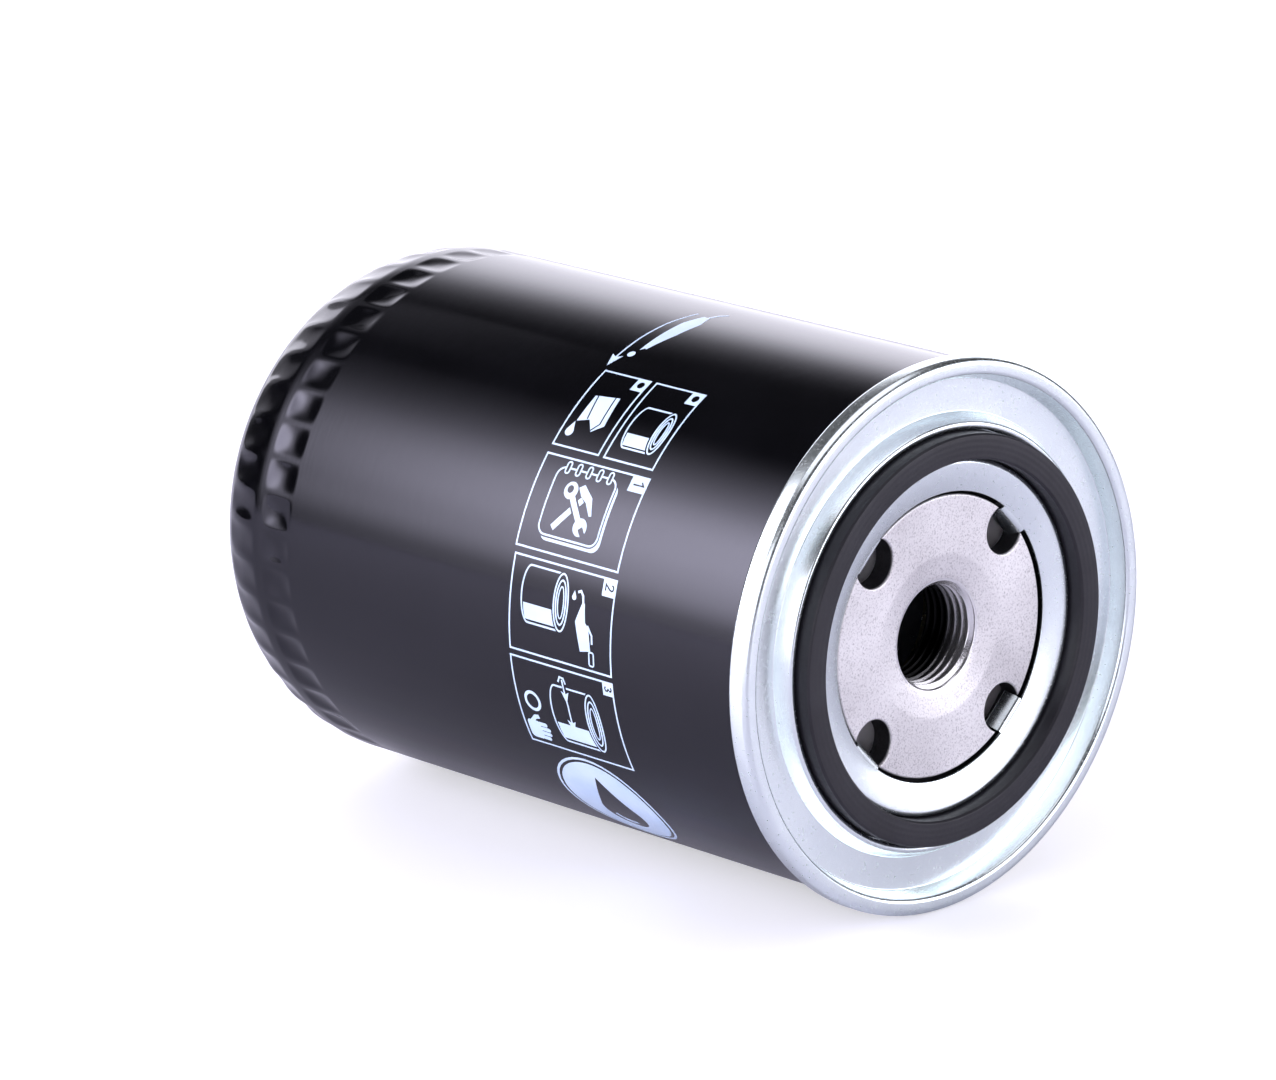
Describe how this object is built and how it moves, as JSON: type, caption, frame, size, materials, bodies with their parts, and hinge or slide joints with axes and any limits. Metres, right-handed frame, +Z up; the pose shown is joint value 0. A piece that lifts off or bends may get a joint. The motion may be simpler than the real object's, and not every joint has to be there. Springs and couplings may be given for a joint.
{
  "type": "spin-on oil filter",
  "caption": "Spin-on engine oil filter lying on its side: black can with pressed grip dimples, zinc lid, rubber gasket, threaded base plate, and a full filter element inside.",
  "frame": {"origin": "on the thread's axis, where the thread starts at the bore's mouth", "axes": "+X along the thread's axis, out of the threaded end; +Z up as the filter lies on its side; Y across"},
  "size_m": [0.1466, 0.096, 0.096],
  "materials": {
    "black_paint": "gloss black paint",
    "zinc_plate": "bright blue-white zinc plate",
    "bare_steel": "bare rolled steel, fine mottle",
    "gasket_rubber": "black nitrile rubber, lathe cut",
    "sealing_compound": "cured seam compound",
    "weld_metal": "weld nugget",
    "valve_rubber": "moulded nitrile rubber",
    "cap_steel": "pressed tin-plated steel",
    "filter_paper": "resin-cured filter paper",
    "clip_steel": "folded strip",
    "tube_steel": "perforated plated tube",
    "adhesive": "cured potting adhesive",
    "valve_steel": "pressed plated steel",
    "poppet_plastic": "moulded heat-stable plastic",
    "spring_steel": "drawn spring wire"
  },
  "bodies": {
    "casing": {"can": "black_paint", "lid": "zinc_plate", "base_plate": "bare_steel", "gasket": "gasket_rubber", "seam_compound": "sealing_compound", "weld_spots": "weld_metal", "spring_seat": "valve_steel", "element_spring": "spring_steel"},
    "valve": {"drain_valve": "valve_rubber"},
    "element": {"top_end_cap": "cap_steel", "bottom_end_cap": "cap_steel", "pleated_paper": "filter_paper", "pleat_clip": "clip_steel", "centre_tube": "tube_steel", "top_adhesive": "adhesive", "bottom_adhesive": "adhesive", "bypass_housing": "valve_steel", "bypass_seal": "valve_rubber", "bypass_retainer": "valve_steel", "bypass_spring": "spring_steel"},
    "poppet": {"bypass_poppet": "poppet_plastic"}
  },
  "joints": [
    {"name": "drain_valve_lift", "type": "slide", "parent": "casing", "child": "valve", "axis": [-1, 0, 0], "range_m": [0, 0.0012], "stiffness_N_per_m": 2500, "springref_m": -0.0004},
    {"name": "element_float", "type": "slide", "parent": "casing", "child": "element", "axis": [-1, 0, 0], "range_m": [0, 0.002], "stiffness_N_per_m": 6000, "springref_m": -0.008, "deforming": ["element_spring"]},
    {"name": "bypass_travel", "type": "slide", "parent": "element", "child": "poppet", "axis": [1, 0, 0], "range_m": [0, 0.003], "stiffness_N_per_m": 1500, "springref_m": -0.009, "deforming": ["bypass_spring"]}
  ]
}
